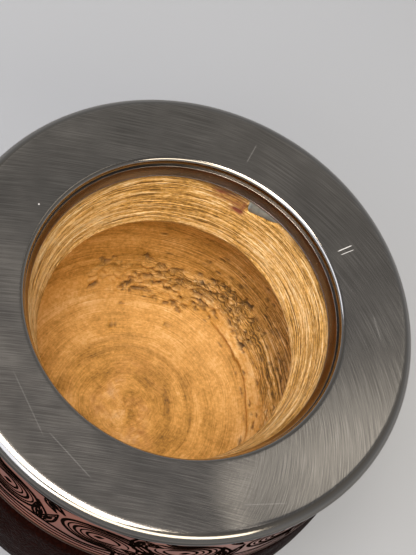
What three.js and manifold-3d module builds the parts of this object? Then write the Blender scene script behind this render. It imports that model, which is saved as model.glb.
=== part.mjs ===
// A mate cup: a turned calabash gourd dressed in sewn leather, with a wide brushed-steel rim,
// an engraved steel band below the rim and a round leather foot.
// Millimetres, +Z up, origin at the centre of the face that the cup stands on.

import * as THREE from "three";
import { mergeVertices } from "three/addons/utils/BufferGeometryUtils.js";
import Module from "manifold-3d";

const wasm = await Module();
wasm.setup();

// Driving dimensions
const HEIGHT = 79;
const RIM_RADIUS = 42;
const RIM_BORE_RADIUS = 27.1;
const COLLAR_TOP_RADIUS = 27.8;
const MOUTH_RADIUS = 27.4;
const THROAT_RADIUS = 24.1;
const CAVITY_RADIUS = 33.6;
const BELLY_RADIUS = 43.4;

// Sheet, hide, thread and the gaps between pieces
const PLATE_THICKNESS = 1.2;
const COLLAR_THICKNESS = 1.0;
const BAND_THICKNESS = 0.8;
const LEATHER_THICKNESS = 2.0;
const WIRE_RADIUS = 0.55;
const THREAD_RADIUS = 0.45;
const FIT_GAP = 0.1;
const SOLDER_GAP = 0.05;
const SEAM_GAP = 0.3;
const SEAT_GAP = 0.3;

// Depths below the top of the rim
const EDGE_ROLL_RADIUS = 1.5;
const LIP_ROLL_RADIUS = 1.9;
const COLLAR_DEPTH = 4.4;
const MOUTH_DEPTH = 4.7;
const THROAT_DEPTH = 16;
const BAND_TOP_DEPTH = 3.2;
const BAND_BOTTOM_DEPTH = 19;
const LEATHER_TOP_DEPTH = 14;
const BELLY_DEPTH = 35;
const TUCK_DEPTH = 23;
const FLOOR_DEPTH = 56.7;

// The turned inside below the overhang, as radius and depth
const CAVITY_OUTLINE = [
  [25, 18.2],
  [30.4, 25],
  [CAVITY_RADIUS, 35.5],
  [30.8, 47],
  [24.1, 53.4],
  [12, FLOOR_DEPTH - 0.5],
  [0, FLOOR_DEPTH],
];

// The hide where it turns in under the band, as a distance out from the neck and a depth
const TUCK_OUTLINE = [
  [1.5, 21.8],
  [0.7, 20.9],
  [0, 20.3],
];

// Heights and radii around the foot
const BODY_BOTTOM_Z = 9;
const BASE_RADIUS = 27.5;
const BASE_THICKNESS = 2.4;
const FOOT_RADIUS = 29;
const FOOT_BORE_RADIUS = 16;
const FOOT_BULGE = 3.6;

// Radii at the band
const BAND_TOP_RADIUS = 41;
const BAND_BOTTOM_RADIUS = 41.7;
const NECK_RADIUS = 38.3;

// Stitching
const SEAM_CROSSINGS = 20;
const SEAM_HALF_WIDTH = 1.5;
const SEAM_TOP_DEPTH = 22.6;
const SEAM_BOTTOM_Z = 17.5;
const FOOT_STITCHES = 24;
const FOOT_STITCH_RISE = 0.8;
const FOOT_STITCH_Z = 6.1;

const ROUND_SEGMENTS = 48;

const steel = new THREE.MeshStandardMaterial({ color: 0x8f8c86, roughness: 0.32, metalness: 1 });
const polishedSteel = new THREE.MeshStandardMaterial({ color: 0xc9c4bb, roughness: 0.12, metalness: 1 });
const engravedSteel = new THREE.MeshStandardMaterial({ color: 0xb08877, roughness: 0.25, metalness: 1 });
const gourd = new THREE.MeshStandardMaterial({ color: 0xc9924f, roughness: 0.7, metalness: 0 });
const putty = new THREE.MeshStandardMaterial({ color: 0x8a9090, roughness: 0.5, metalness: 0 });
const hide = new THREE.MeshStandardMaterial({ color: 0x2a0d08, roughness: 0.5, metalness: 0 });
const sole = new THREE.MeshStandardMaterial({ color: 0x3a1b10, roughness: 0.7, metalness: 0 });
const cork = new THREE.MeshStandardMaterial({ color: 0xb98f5e, roughness: 0.9, metalness: 0 });
const thread = new THREE.MeshStandardMaterial({ color: 0x3b2016, roughness: 0.8, metalness: 0 });

const group = new THREE.Group();

function point(radius, z) {
  return new THREE.Vector2(radius, z);
}

// A point given by its depth below the top of the rim.
function below(radius, depth) {
  return new THREE.Vector2(radius, HEIGHT - depth);
}

// Points on an arc from one angle to another in degrees, 0 pointing outward and 90 pointing up.
function arc(centre, radius, fromDegrees, toDegrees, steps) {
  return Array.from({ length: steps + 1 }, (_, i) => {
    const angle = THREE.MathUtils.degToRad(fromDegrees + ((toDegrees - fromDegrees) * i) / steps);
    return point(centre.x + radius * Math.cos(angle), centre.y + radius * Math.sin(angle));
  });
}

function smooth(points, steps) {
  return new THREE.SplineCurve(points).getPoints(steps);
}

// A body of revolution about +Z. The outline runs anticlockwise, with the axis on its left.
function turned(outline) {
  const geometry = new THREE.LatheGeometry(outline, ROUND_SEGMENTS);
  geometry.rotateX(Math.PI / 2);
  return geometry;
}

function closedOutline(points) {
  return [...points, points[0].clone()];
}

function addPart(name, geometry, material) {
  const mesh = new THREE.Mesh(geometry, material);
  mesh.name = name;
  group.add(mesh);
}

// A closed solid from a mesh, with shared corners merged and flat triangles left out.
function toSolid(geometry) {
  const plain = geometry.clone();
  plain.deleteAttribute("normal");
  plain.deleteAttribute("uv");
  const merged = mergeVertices(plain, 1e-4);
  const corners = merged.index.array;
  const kept = [];
  for (let i = 0; i < corners.length; i += 3) {
    const [a, b, c] = [corners[i], corners[i + 1], corners[i + 2]];
    if (a !== b && b !== c && c !== a) kept.push(a, b, c);
  }
  const vertProperties = new Float32Array(merged.attributes.position.array);
  const triVerts = new Uint32Array(kept);
  return new wasm.Manifold(new wasm.Mesh({ numProp: 3, vertProperties, triVerts }));
}

function toGeometry(solid) {
  const mesh = solid.getMesh();
  const geometry = new THREE.BufferGeometry();
  geometry.setAttribute("position", new THREE.BufferAttribute(mesh.vertProperties, 3));
  geometry.setIndex(new THREE.BufferAttribute(mesh.triVerts, 1));
  geometry.computeVertexNormals();
  return geometry;
}

// Radius of the dressed body at a height: a full, flat-bottomed curve below the belly
// and a slower one above it, drawn inward by inset along the radius and the foot.
function bodyRadius(z, inset) {
  const bellyZ = HEIGHT - BELLY_DEPTH;
  const lowerHeight = bellyZ - BODY_BOTTOM_Z - inset;
  const upperHeight = 57;
  const fullness = 2.4;
  const reach = BELLY_RADIUS - inset;
  if (z >= bellyZ) return reach * Math.sqrt(1 - ((z - bellyZ) / upperHeight) ** 2);
  const share = Math.min(1, (bellyZ - z) / lowerHeight);
  return reach * (1 - share ** fullness) ** (1 / fullness);
}

// The body's outline from the middle of the bottom up to just under the band,
// with its points closer together towards the bottom.
function bodyOutline(inset, steps) {
  const crowding = 1.15;
  const bottomZ = BODY_BOTTOM_Z + inset;
  const topZ = HEIGHT - TUCK_DEPTH;
  const points = [point(0, bottomZ)];
  for (let i = 1; i <= steps; i += 1) {
    const climb = (1 - Math.cos((i / steps) * Math.PI * 0.5)) ** crowding;
    const z = bottomZ + (topZ - bottomZ) * climb;
    points.push(point(bodyRadius(z, inset), z));
  }
  return points;
}

// Calabash shell, turned inside: a conical throat, an overhang, a wide belly and a dished floor.
function gourdCup() {
  const outside = bodyOutline(LEATHER_THICKNESS + FIT_GAP, 10);
  const shoulder = [below(NECK_RADIUS, BAND_BOTTOM_DEPTH - 0.5), below(NECK_RADIUS, MOUTH_DEPTH)];
  const throat = [below(MOUTH_RADIUS, MOUTH_DEPTH), below(THROAT_RADIUS, THROAT_DEPTH)];
  const cavity = smooth(
    CAVITY_OUTLINE.map(([radius, depth]) => below(radius, depth)),
    12,
  );
  addPart("gourd_cup", turned([...outside, ...shoulder, ...throat, ...cavity]), gourd);
}

// Spun steel plate: flat on top, rolled round and back under at its outer edge,
// and rolled down into the mouth at its bore.
function rimPlate() {
  const edgeCentre = below(RIM_RADIUS - EDGE_ROLL_RADIUS, EDGE_ROLL_RADIUS);
  const lipCentre = below(RIM_BORE_RADIUS + LIP_ROLL_RADIUS, LIP_ROLL_RADIUS);
  const lipOuterRadius = RIM_BORE_RADIUS + COLLAR_THICKNESS;
  const outline = [
    ...arc(edgeCentre, EDGE_ROLL_RADIUS, -90, 90, 8),
    ...arc(lipCentre, LIP_ROLL_RADIUS, 90, 180, 4),
    below(lipOuterRadius, LIP_ROLL_RADIUS),
    below(lipOuterRadius + 0.3, PLATE_THICKNESS),
    below(edgeCentre.x, PLATE_THICKNESS),
    below(edgeCentre.x + 0.3, EDGE_ROLL_RADIUS),
    below(edgeCentre.x, EDGE_ROLL_RADIUS + 0.3),
  ];
  addPart("rim_plate", turned(closedOutline(outline)), steel);
}

// Short polished tube soldered under the lip, lining the top of the mouth; it narrows downward.
function innerCollar() {
  const outerRadius = RIM_BORE_RADIUS + COLLAR_THICKNESS;
  const top = LIP_ROLL_RADIUS + SOLDER_GAP;
  const outline = [
    below(outerRadius, COLLAR_DEPTH),
    below(outerRadius, top),
    below(COLLAR_TOP_RADIUS, top),
    below(RIM_BORE_RADIUS, COLLAR_DEPTH),
  ];
  addPart("inner_collar", turned(closedOutline(outline)), polishedSteel);
}

// Slightly flared strip of sheet, rolled to a hoop and soldered under the rim's edge.
function engravedBand() {
  const outline = [
    below(BAND_BOTTOM_RADIUS, BAND_BOTTOM_DEPTH),
    below(BAND_TOP_RADIUS, BAND_TOP_DEPTH),
    below(BAND_TOP_RADIUS - BAND_THICKNESS, BAND_TOP_DEPTH),
    below(BAND_BOTTOM_RADIUS - BAND_THICKNESS, BAND_BOTTOM_DEPTH),
  ];
  addPart("engraved_band", turned(closedOutline(outline)), engravedSteel);
}

// Half-round wire soldered along the band's lower edge, so that it doesn't cut the leather.
function bandEdgeWire() {
  const depth = BAND_BOTTOM_DEPTH + WIRE_RADIUS + SOLDER_GAP;
  const centre = below(BAND_BOTTOM_RADIUS - BAND_THICKNESS / 2, depth);
  const outline = arc(centre, WIRE_RADIUS, 0, 300, 5);
  addPart("band_edge_wire", turned(closedOutline(outline)), engravedSteel);
}

// Set epoxy putty that fills the space between the rim, the band and the gourd and holds the metal on.
function beddingRing() {
  const bandInner = (depth) => {
    const share = (depth - BAND_TOP_DEPTH) / (BAND_BOTTOM_DEPTH - BAND_TOP_DEPTH);
    return BAND_TOP_RADIUS + (BAND_BOTTOM_RADIUS - BAND_TOP_RADIUS) * share - BAND_THICKNESS - FIT_GAP;
  };
  const highest = PLATE_THICKNESS + FIT_GAP;
  const lowest = LEATHER_TOP_DEPTH - FIT_GAP;
  const collarClear = RIM_BORE_RADIUS + COLLAR_THICKNESS + 0.4;
  const outline = [
    below(bandInner(lowest), lowest),
    below(bandInner(BAND_TOP_DEPTH), BAND_TOP_DEPTH),
    below(bandInner(BAND_TOP_DEPTH), highest),
    below(collarClear, highest),
    below(collarClear, MOUTH_DEPTH - FIT_GAP),
    below(NECK_RADIUS + FIT_GAP, MOUTH_DEPTH - FIT_GAP),
    below(NECK_RADIUS + FIT_GAP, lowest),
  ];
  addPart("bedding_ring", turned(closedOutline(outline)), putty);
}

// Outline of the wet-formed hide: round the body, in under the band and up to its cut edge.
function leatherOutline() {
  const tuckRadius = NECK_RADIUS + FIT_GAP + LEATHER_THICKNESS;
  return [
    ...bodyOutline(0, 12),
    ...TUCK_OUTLINE.map(([out, depth]) => below(tuckRadius + out, depth)),
    below(tuckRadius, LEATHER_TOP_DEPTH),
    below(NECK_RADIUS + FIT_GAP, LEATHER_TOP_DEPTH),
    below(NECK_RADIUS + FIT_GAP, BAND_BOTTOM_DEPTH - 0.4),
    ...bodyOutline(LEATHER_THICKNESS, 10).reverse(),
  ];
}

// Two hides meet edge to edge along each side of the cup.
function leatherPanels() {
  const shell = toSolid(turned(leatherOutline()));
  const reach = BELLY_RADIUS + 5;
  for (const [name, side] of [["leather_panel_front", -1], ["leather_panel_back", 1]]) {
    const keep = new THREE.BoxGeometry(2 * reach, reach, 2 * HEIGHT);
    keep.translate(0, (side * (reach + SEAM_GAP)) / 2, HEIGHT / 2);
    addPart(name, toGeometry(shell.intersect(toSolid(keep))), hide);
  }
}

// Waxed thread laced to and fro across a side seam, lying on the hide from the band to the foot.
function seamThread(name, side) {
  const topZ = HEIGHT - SEAM_TOP_DEPTH;
  const stations = Array.from({ length: SEAM_CROSSINGS + 1 }, (_, i) => {
    const z = topZ + ((SEAM_BOTTOM_Z - topZ) * i) / SEAM_CROSSINGS;
    const radius = bodyRadius(z, 0) + THREAD_RADIUS + FIT_GAP;
    const across = i % 2 === 0 ? SEAM_HALF_WIDTH : -SEAM_HALF_WIDTH;
    return new THREE.Vector3(side * Math.sqrt(radius ** 2 - across ** 2), across, z);
  });
  const section = new THREE.Shape(arc(point(0, 0), THREAD_RADIUS, 0, 300, 5));
  const path = new THREE.CatmullRomCurve3(stations, false, "centripetal");
  const geometry = new THREE.ExtrudeGeometry(section, { steps: SEAM_CROSSINGS * 2, extrudePath: path });
  addPart(name, geometry, thread);
}

// Thick strip of sole leather bent to a hoop, rounded outside and skived inside to the body's curve.
function footRing() {
  const low = BASE_THICKNESS + FIT_GAP;
  const bulgeCentre = point(FOOT_RADIUS - FOOT_BULGE, low + FOOT_BULGE);
  const seatRadii = [FOOT_RADIUS - 2.4, FOOT_RADIUS - 5, FOOT_RADIUS - 9, FOOT_BORE_RADIUS];
  const outline = [
    point(FOOT_BORE_RADIUS, low),
    ...arc(bulgeCentre, FOOT_BULGE, -80, 50, 6),
    ...seatRadii.map((radius) => point(radius, footSeatZ(radius) - SEAT_GAP)),
  ];
  addPart("foot_ring", turned(closedOutline(outline)), sole);
}

// Height of the underside of the body at a radius, found by halving the range.
function footSeatZ(radius) {
  let low = BODY_BOTTOM_Z;
  let high = HEIGHT - BELLY_DEPTH;
  for (let i = 0; i < 40; i += 1) {
    const middle = (low + high) / 2;
    if (bodyRadius(middle, 0) < radius) low = middle;
    else high = middle;
  }
  return low;
}

// Cork pad that fills the foot and carries the middle of the bottom.
function footPad() {
  const low = BASE_THICKNESS + FIT_GAP;
  const high = BODY_BOTTOM_Z - SEAT_GAP;
  const radius = FOOT_BORE_RADIUS - SEAT_GAP;
  const outline = [point(0, low), point(radius, low), point(radius, high), point(0, high)];
  addPart("foot_pad", turned(outline), cork);
}

// Round leather sole with a rounded edge; its flat underside is what the cup stands on.
function baseDisc() {
  const edge = BASE_THICKNESS / 3;
  const outline = [
    point(0, 0),
    point(BASE_RADIUS - edge, 0),
    point(BASE_RADIUS, edge),
    point(BASE_RADIUS, BASE_THICKNESS - edge),
    point(BASE_RADIUS - edge, BASE_THICKNESS),
    point(0, BASE_THICKNESS),
  ];
  addPart("base_disc", turned(outline), sole);
}

// Whipped thread that runs round the foot, rising and falling between its holes.
function footThread() {
  const ringRadius = FOOT_RADIUS + THREAD_RADIUS + FIT_GAP;
  const geometry = new THREE.TorusGeometry(ringRadius, THREAD_RADIUS, 6, FOOT_STITCHES * 4);
  const position = geometry.attributes.position;
  for (let i = 0; i < position.count; i += 1) {
    const angle = Math.atan2(position.getY(i), position.getX(i));
    position.setZ(i, position.getZ(i) + FOOT_STITCH_RISE * Math.sin(FOOT_STITCHES * angle));
  }
  geometry.translate(0, 0, FOOT_STITCH_Z);
  addPart("foot_thread", geometry, thread);
}

gourdCup();
rimPlate();
innerCollar();
engravedBand();
bandEdgeWire();
beddingRing();
leatherPanels();
seamThread("seam_thread_left", -1);
seamThread("seam_thread_right", 1);
footRing();
footPad();
baseDisc();
footThread();

export default group;
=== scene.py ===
import math

import bpy
import numpy as np
from mathutils import Matrix, Vector


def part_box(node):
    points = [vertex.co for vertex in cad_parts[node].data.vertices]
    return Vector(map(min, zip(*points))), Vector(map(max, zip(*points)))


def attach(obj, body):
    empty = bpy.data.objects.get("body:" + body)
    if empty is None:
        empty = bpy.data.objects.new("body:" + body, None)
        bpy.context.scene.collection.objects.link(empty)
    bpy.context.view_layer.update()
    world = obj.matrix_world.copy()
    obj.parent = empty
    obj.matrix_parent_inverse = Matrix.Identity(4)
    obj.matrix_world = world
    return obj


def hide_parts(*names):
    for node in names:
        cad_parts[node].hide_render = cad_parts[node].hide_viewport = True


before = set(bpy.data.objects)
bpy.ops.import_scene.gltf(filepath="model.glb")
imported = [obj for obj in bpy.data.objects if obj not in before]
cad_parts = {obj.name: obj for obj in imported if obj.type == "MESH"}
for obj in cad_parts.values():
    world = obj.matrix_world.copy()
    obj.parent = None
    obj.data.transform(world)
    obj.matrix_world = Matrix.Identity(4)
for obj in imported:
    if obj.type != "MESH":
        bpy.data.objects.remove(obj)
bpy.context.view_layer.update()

# --- Camera -------------------------------------------------------------------------------
# A hand-held close-up lens looks down into the cup from in front. It is rolled about its own
# axis and aimed a little off the middle of the rim.

MM = 0.001
rim_low, rim_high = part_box("rim_plate")
rim_radius = rim_high.x
rim_z = rim_high.z

camera_elevation = math.radians(61.7)
camera_roll = math.radians(-30.2)
camera_pan = math.radians(-0.98)
camera_tilt = math.radians(1.13)
camera_distance = 4.735 * rim_radius

back = Vector((0, -math.cos(camera_elevation), math.sin(camera_elevation)))
right = (-back).cross(Vector((0, 0, 1))).normalized()
upward = right.cross(-back)
aim = Matrix.Rotation(camera_tilt, 3, "X") @ Matrix.Rotation(camera_pan, 3, "Y")
aim = aim @ Matrix.Rotation(camera_roll, 3, "Z") @ Matrix((right, upward, -back))

camera_data = bpy.data.cameras.new("camera")
camera_data.lens = 74.6
camera = bpy.data.objects.new("camera", camera_data)
bpy.context.scene.collection.objects.link(camera)
axes = Matrix((aim[0], aim[1], -aim[2])).transposed()
camera.matrix_world = Matrix.Translation(back * camera_distance + Vector((0, 0, rim_z))) @ axes.to_4x4()
bpy.context.scene.camera = camera

# --- Studio -------------------------------------------------------------------------------
# A pale matt floor in a room that is pale at the horizon and dim overhead. Two broad soft boxes
# stand in front and on the left like windows, with a smaller one overhead and a small card behind.


def colour(hex_code, strength=1.0):
    """An sRGB hex colour as linear values."""
    parts = [int(hex_code[i : i + 2], 16) / 255 for i in (0, 2, 4)]
    linear = [p / 12.92 if p <= 0.04045 else ((p + 0.055) / 1.055) ** 2.4 for p in parts]
    return (*[strength * value for value in linear], 1.0)


def add(tree, kind, inputs=None, **settings):
    """Adds a node, sets its settings, and sets or links its inputs."""
    node = tree.nodes.new("ShaderNode" + kind)
    stops = settings.pop("stops", None)
    for key, value in settings.items():
        setattr(node, key, value)
    for key, value in (inputs or {}).items():
        if isinstance(value, bpy.types.NodeSocket):
            tree.links.new(value, node.inputs[key])
        else:
            node.inputs[key].default_value = value
    if stops:
        ramp = node.color_ramp.elements
        while len(ramp) < len(stops):
            ramp.new(0.5)
        for element, (place, shade) in zip(ramp, stops):
            element.position = place
            element.color = shade
    return node


def material(name):
    """A new material with one Principled shader: the material, its node tree and the shader."""
    made = bpy.data.materials.new(name)
    made.use_nodes = True
    return made, made.node_tree, made.node_tree.nodes["Principled BSDF"]


def grey(value):
    return (value, value, value, 1.0)


# Gives the eye an even ground with no shine.
floor_paint, tree, shader = material("pale matt paint")
shader.inputs["Base Color"].default_value = colour("a4a8ae")
shader.inputs["Roughness"].default_value = 0.75

floor_size = 2.4
floor_mesh = bpy.data.meshes.new("floor")
half = floor_size / 2
corners = [(-half, -half, 0), (half, -half, 0), (half, half, 0), (-half, half, 0)]
floor_mesh.from_pydata(corners, [], [(0, 1, 2, 3)])
floor_mesh.materials.append(floor_paint)
floor = bpy.data.objects.new("floor", floor_mesh)
bpy.context.scene.collection.objects.link(floor)

room = bpy.data.worlds.new("room")
room.use_nodes = True
sky = add(room.node_tree, "TexCoord").outputs["Generated"]
sky_height = add(room.node_tree, "SeparateXYZ", {0: sky}).outputs[2]
sky_shade = add(
    room.node_tree,
    "ValToRGB",
    {"Fac": sky_height},
    stops=[
        (0.0, colour("b8babe")),
        (0.35, colour("8f9195")),
        (0.78, colour("7d7a76")),
        (0.97, colour("5f6064")),
    ],
)
room.node_tree.links.new(sky_shade.outputs["Color"], room.node_tree.nodes["Background"].inputs["Color"])
bpy.context.scene.world = room
bpy.context.scene.view_settings.view_transform = "Standard"


def soft_box(name, azimuth, elevation, distance, size, watts, tint):
    """A rectangular area light aimed at the rim; azimuth is measured from +X towards +Y."""
    light = bpy.data.lights.new(name, "AREA")
    light.shape = "RECTANGLE"
    light.size, light.size_y = size
    light.energy = watts
    light.color = colour(tint)[:3]
    lamp = bpy.data.objects.new(name, light)
    bpy.context.scene.collection.objects.link(lamp)
    across, high = math.radians(azimuth), math.radians(elevation)
    way = Vector((math.cos(high) * math.cos(across), math.cos(high) * math.sin(across), math.sin(high)))
    lamp.location = way * distance + Vector((0, 0, rim_z))
    lamp.rotation_euler = way.to_track_quat("Z", "Y").to_euler()


soft_box("front_window", -66, 46, 1.0, (1.3, 0.32), 6.0, "fff3e0")
soft_box("overhead", -104, 75, 0.9, (0.5, 0.36), 9.0, "fff4e6")
soft_box("left_window", -140, 44, 1.0, (1.3, 0.5), 5.5, "e6edff")
soft_box("ceiling_card", 61, 62, 1.0, (0.12, 0.2), 0.09, "fff6e8")

# --- Gourd --------------------------------------------------------------------------------
# A dried calabash, its mouth sawn off and its inside turned and scraped. The cutter leaves fine
# rings in the throat, a ragged overhang under it, torn corky pith where the wall meets the
# floor, and a smoother floor with dark growth rings. The outside is hidden by metal and hide.


def arc(centre, radius, start, end, steps):
    """Points on an arc in the outline's plane, from one angle to another in degrees."""
    angles = np.radians(np.linspace(start, end, steps + 1))
    return np.column_stack([centre[0] + radius * np.cos(angles), centre[1] + radius * np.sin(angles)])


def smooth_curve(points, steps):
    """A Catmull-Rom curve through the points, with that many steps between each two."""
    p = np.asarray(points, float)
    p = np.vstack([p[0], p, p[-1]])
    t = np.arange(steps)[:, None] / steps
    parts = []
    for a, b, c, d in zip(p, p[1:], p[2:], p[3:]):
        bend = (2 * a - 5 * b + 4 * c - d) * t**2 + (3 * b - 3 * c + d - a) * t**3
        parts.append(0.5 * (2 * b + (c - a) * t + bend))
    return np.vstack([*parts, p[-2]])


def spaced(points, step):
    """The same outline with points a step apart."""
    p = np.asarray(points, float)
    run = np.r_[0, np.cumsum(np.hypot(*np.diff(p, axis=0).T))]
    at = np.linspace(0, run[-1], max(2, round(run[-1] / step) + 1))
    return np.column_stack([np.interp(at, run, p[:, 0]), np.interp(at, run, p[:, 1])])


def outward(outline, closed=False):
    """Unit normals of an outline that runs anticlockwise round the solid."""
    p = np.asarray(outline)
    if closed:
        along = np.roll(p, -1, axis=0) - np.roll(p, 1, axis=0)
    else:
        along = np.gradient(p, axis=0)
    normal = np.column_stack([along[:, 1], -along[:, 0]])
    return normal / np.maximum(np.linalg.norm(normal, axis=1), 1e-9)[:, None]


def piece(name, vertices, faces, finish, node=None, attributes=None):
    """A smooth mesh piece, in millimetres, that rides on the cup and stands for a CAD node."""
    mesh = bpy.data.meshes.new(name)
    mesh.from_pydata((np.asarray(vertices) * MM).tolist(), [], faces)
    mesh.polygons.foreach_set("use_smooth", [True] * len(mesh.polygons))
    mesh.materials.append(finish)
    for key, values in (attributes or {}).items():
        layer = mesh.attributes.new(key, "FLOAT", "POINT")
        layer.data.foreach_set("value", np.ascontiguousarray(values, np.float32).ravel())
    mesh.update()
    made = bpy.data.objects.new(name, mesh)
    bpy.context.scene.collection.objects.link(made)
    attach(made, "root")
    if node:
        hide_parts(node)
    return made


def ring_faces(rings, columns, closed_outline=False):
    """Quads of a grid of rings that wraps round the axis."""
    faces = []
    for i in range(rings if closed_outline else rings - 1):
        low, high = i * columns, (i + 1) % rings * columns
        for j in range(columns):
            k = (j + 1) % columns
            faces.append((low + j, low + k, high + k, high + j))
    return faces


def turned(radius, z, columns):
    """Grid points round the axis from radius and height arrays that broadcast to rings by columns."""
    angle = np.linspace(0, 2 * math.pi, columns, endpoint=False)[None, :]
    radius, z = np.broadcast_arrays(radius + 0 * angle, z + 0 * angle)
    return np.stack([radius * np.cos(angle), radius * np.sin(angle), z], axis=-1).reshape(-1, 3)


def drift(rows, turn, columns, seed):
    """Smooth noise from -1 to 1. rows counts its cells along the outline, turn is 0 to 1 round the axis."""
    rows, turn = np.broadcast_arrays(rows, turn)
    rows = rows - rows.min()
    table = np.random.default_rng(seed).uniform(-1, 1, (int(rows.max()) + 2, columns))
    i = np.floor(rows).astype(int)
    across = (turn % 1) * columns
    j = np.floor(across).astype(int)
    u, v = rows - i, across - j
    u, v = u * u * (3 - 2 * u), v * v * (3 - 2 * v)
    j, k = j % columns, (j + 1) % columns
    near = table[i, j] * (1 - v) + table[i, k] * v
    far = table[i + 1, j] * (1 - v) + table[i + 1, k] * v
    return near * (1 - u) + far * u


def bump(x, centre, reach):
    """1 at the centre, falling smoothly to nothing at reach from it."""
    return np.clip(1 - ((x - centre) / reach) ** 2, 0, 1) ** 2


def rise(x, low, high):
    t = np.clip((x - low) / (high - low), 0, 1)
    return t * t * (3 - 2 * t)


def apart(turn, degrees):
    """Angle in degrees, from -180 to 180, from a direction round the axis."""
    return (turn * 360 - degrees + 180) % 360 - 180


height = rim_z / MM
gourd_columns = 480
mouth_radius, throat_radius, cavity_radius = 27.4, 24.1, 33.6
mouth_depth, throat_depth, floor_depth = 4.7, 16.0, 56.7

throat_outline = spaced([(mouth_radius, mouth_depth), (throat_radius, throat_depth)], 0.26)
wall_outline = smooth_curve(
    [
        (throat_radius + 0.9, throat_depth + 2.2),
        (cavity_radius - 3.2, 25),
        (cavity_radius, 35.5),
        (cavity_radius - 2.2, 45),
        (cavity_radius - 6.0, 51.2),
        (cavity_radius - 11.5, 54.4),
        (12, floor_depth - 0.4),
        (0.0, floor_depth),
    ],
    20,
)
upper_wall = spaced(wall_outline[wall_outline[:, 1] < 45], 0.5)
torn_corner = spaced(wall_outline[(wall_outline[:, 1] >= 45) & (wall_outline[:, 0] > 23)], 0.3)
floor_outline = spaced(wall_outline[wall_outline[:, 0] <= 23], 0.8)
edge_outline = spaced([throat_outline[-1], wall_outline[0]], 0.35)[1:-1]
inside = np.vstack([throat_outline, edge_outline, upper_wall, torn_corner, floor_outline[:-1]])
inside_run = np.r_[0, np.cumsum(np.hypot(*np.diff(inside, axis=0).T))][:, None]

turn = (np.arange(gourd_columns) / gourd_columns)[None, :]
depth = inside[:, 1][:, None]
radius = inside[:, 0][:, None]
ragged = np.exp(-((apart(turn, 28) / 58) ** 2))
wavy = inside_run + 0.5 * drift(inside_run / 8, turn, 9, 1) + 0.22 * drift(inside_run / 3, turn, 26, 2)

in_throat = 1 - rise(depth, throat_depth - 0.5, throat_depth + 3)
in_wall = rise(depth, throat_depth, throat_depth + 3) * (1 - rise(depth, 47, 51))
on_floor = rise(depth, 50, 53)

# Cutter rings: even and fine in the throat, deep and fanned out on the right of the wall.
rings = 0.6 * drift(wavy / 0.6, turn, 6, 3) + 0.4 * drift(wavy / 0.95, turn, 13, 4)
fibres = drift(wavy / 0.55, turn, 110, 5)
cut = in_throat * (0.15 * rings + 0.07 * fibres)
cut = cut + in_wall * (0.03 + 0.2 * ragged) * (rings + 0.5 * fibres)
cut = cut + 0.4 * bump(depth, throat_depth + 2.5, 7) * ragged * drift(wavy / 1.3, turn, 26, 7)

# Torn pith: cracked crumbs where wall and floor meet, worst behind and to the right.
crumb_line = 50.0 - 3.0 * bump(apart(turn, 68), 0, 30)
crumb_side = np.exp(-((apart(turn, 94) / 30) ** 4))
crumb_zone = bump(depth, crumb_line, 5.2) ** 0.7 * crumb_side
crumb_source = np.random.default_rng(8)
hollows = np.zeros((len(inside), gourd_columns))
crumbs = np.zeros((len(inside), gourd_columns))
ragged_edge = 0.8 * drift(inside_run / 0.45, turn, 420, 9)
for number in range(420):
    toward = np.clip(crumb_source.normal(92, 19), 56, 136)
    low = crumb_line[0, int(toward / 360 * gourd_columns)] + crumb_source.normal(0, 1.7)
    wide = crumb_source.uniform(0.26, 0.78)
    ring = int(np.argmin(np.abs(inside[:, 1] - low)))
    mm_across = np.radians(apart(turn, toward)) * inside[ring, 0]
    mm_along = inside_run - inside_run[ring] + crumb_source.uniform(-0.5, 0.5) * mm_across
    near = (mm_along / wide) ** 2 + (mm_across / (wide * crumb_source.uniform(1.0, 2.6))) ** 2 + ragged_edge
    dent = rise(1 - near, 0, 0.7) * crumb_source.uniform(0.5, 1)
    if number % 2:
        hollows = np.maximum(hollows, dent)
    else:
        crumbs = np.maximum(crumbs, dent)
hollows = hollows * (1 - 0.85 * crumbs)
cut = cut + 1.1 * hollows - 0.75 * crumbs

# The floor was cut a little lower than the pith shelf on the right, which leaves a step.
shelf_side = rise(apart(turn, 40), -58, -44) * (1 - rise(apart(turn, 40), 26, 38))
shelf_edge = 26.2 + 0.5 * drift(inside_run * 0, turn, 24, 30)
shelf = rise(radius, shelf_edge, shelf_edge + 0.7) * rise(depth, 44.5, 47.5) * shelf_side
shelf_grain = drift(inside_run / 0.8, turn, 170, 11)
cut = cut - shelf * (1.5 + 0.3 * shelf_grain)
floor_rings = 0.04 * drift(inside_run / 1.1, turn, 6, 12) + 0.05 * drift(inside_run / 2.3, turn, 20, 33)
cut = cut + on_floor * floor_rings

# Pits: torn-out pores, small and mostly low on the right-hand wall.
pit_source = np.random.default_rng(21)
pits = np.zeros((len(inside), gourd_columns))
pit_count = 230
for _ in range(pit_count):
    toward = pit_source.normal(30, 42)
    low = np.clip(pit_source.normal(42, 6.5), 18, 53)
    wide = pit_source.uniform(0.16, 0.42) * (1.7 if pit_source.random() < 0.06 else 1)
    ring = int(np.argmin(np.abs(inside[:, 1] - low)))
    mm_along = (inside_run - inside_run[ring]) / wide
    mm_across = np.radians(apart(turn, toward)) * inside[ring, 0] / (wide * pit_source.uniform(1.2, 3.4))
    near = mm_along**2 + mm_across**2 + 0.5 * drift(inside_run / 0.5, turn, 420, 34)
    pits = np.maximum(pits, np.clip(1 - near, 0, 1) * pit_source.uniform(0.4, 1))
cut = cut + 0.45 * pits

# The sawn mouth: a chip broken out of its edge at the back and a nick at the front.
chip_start, chip_end, chip_drop = 89.0, 71.0, 2.6
nick_toward, nick_spread = -54, 4


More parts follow.
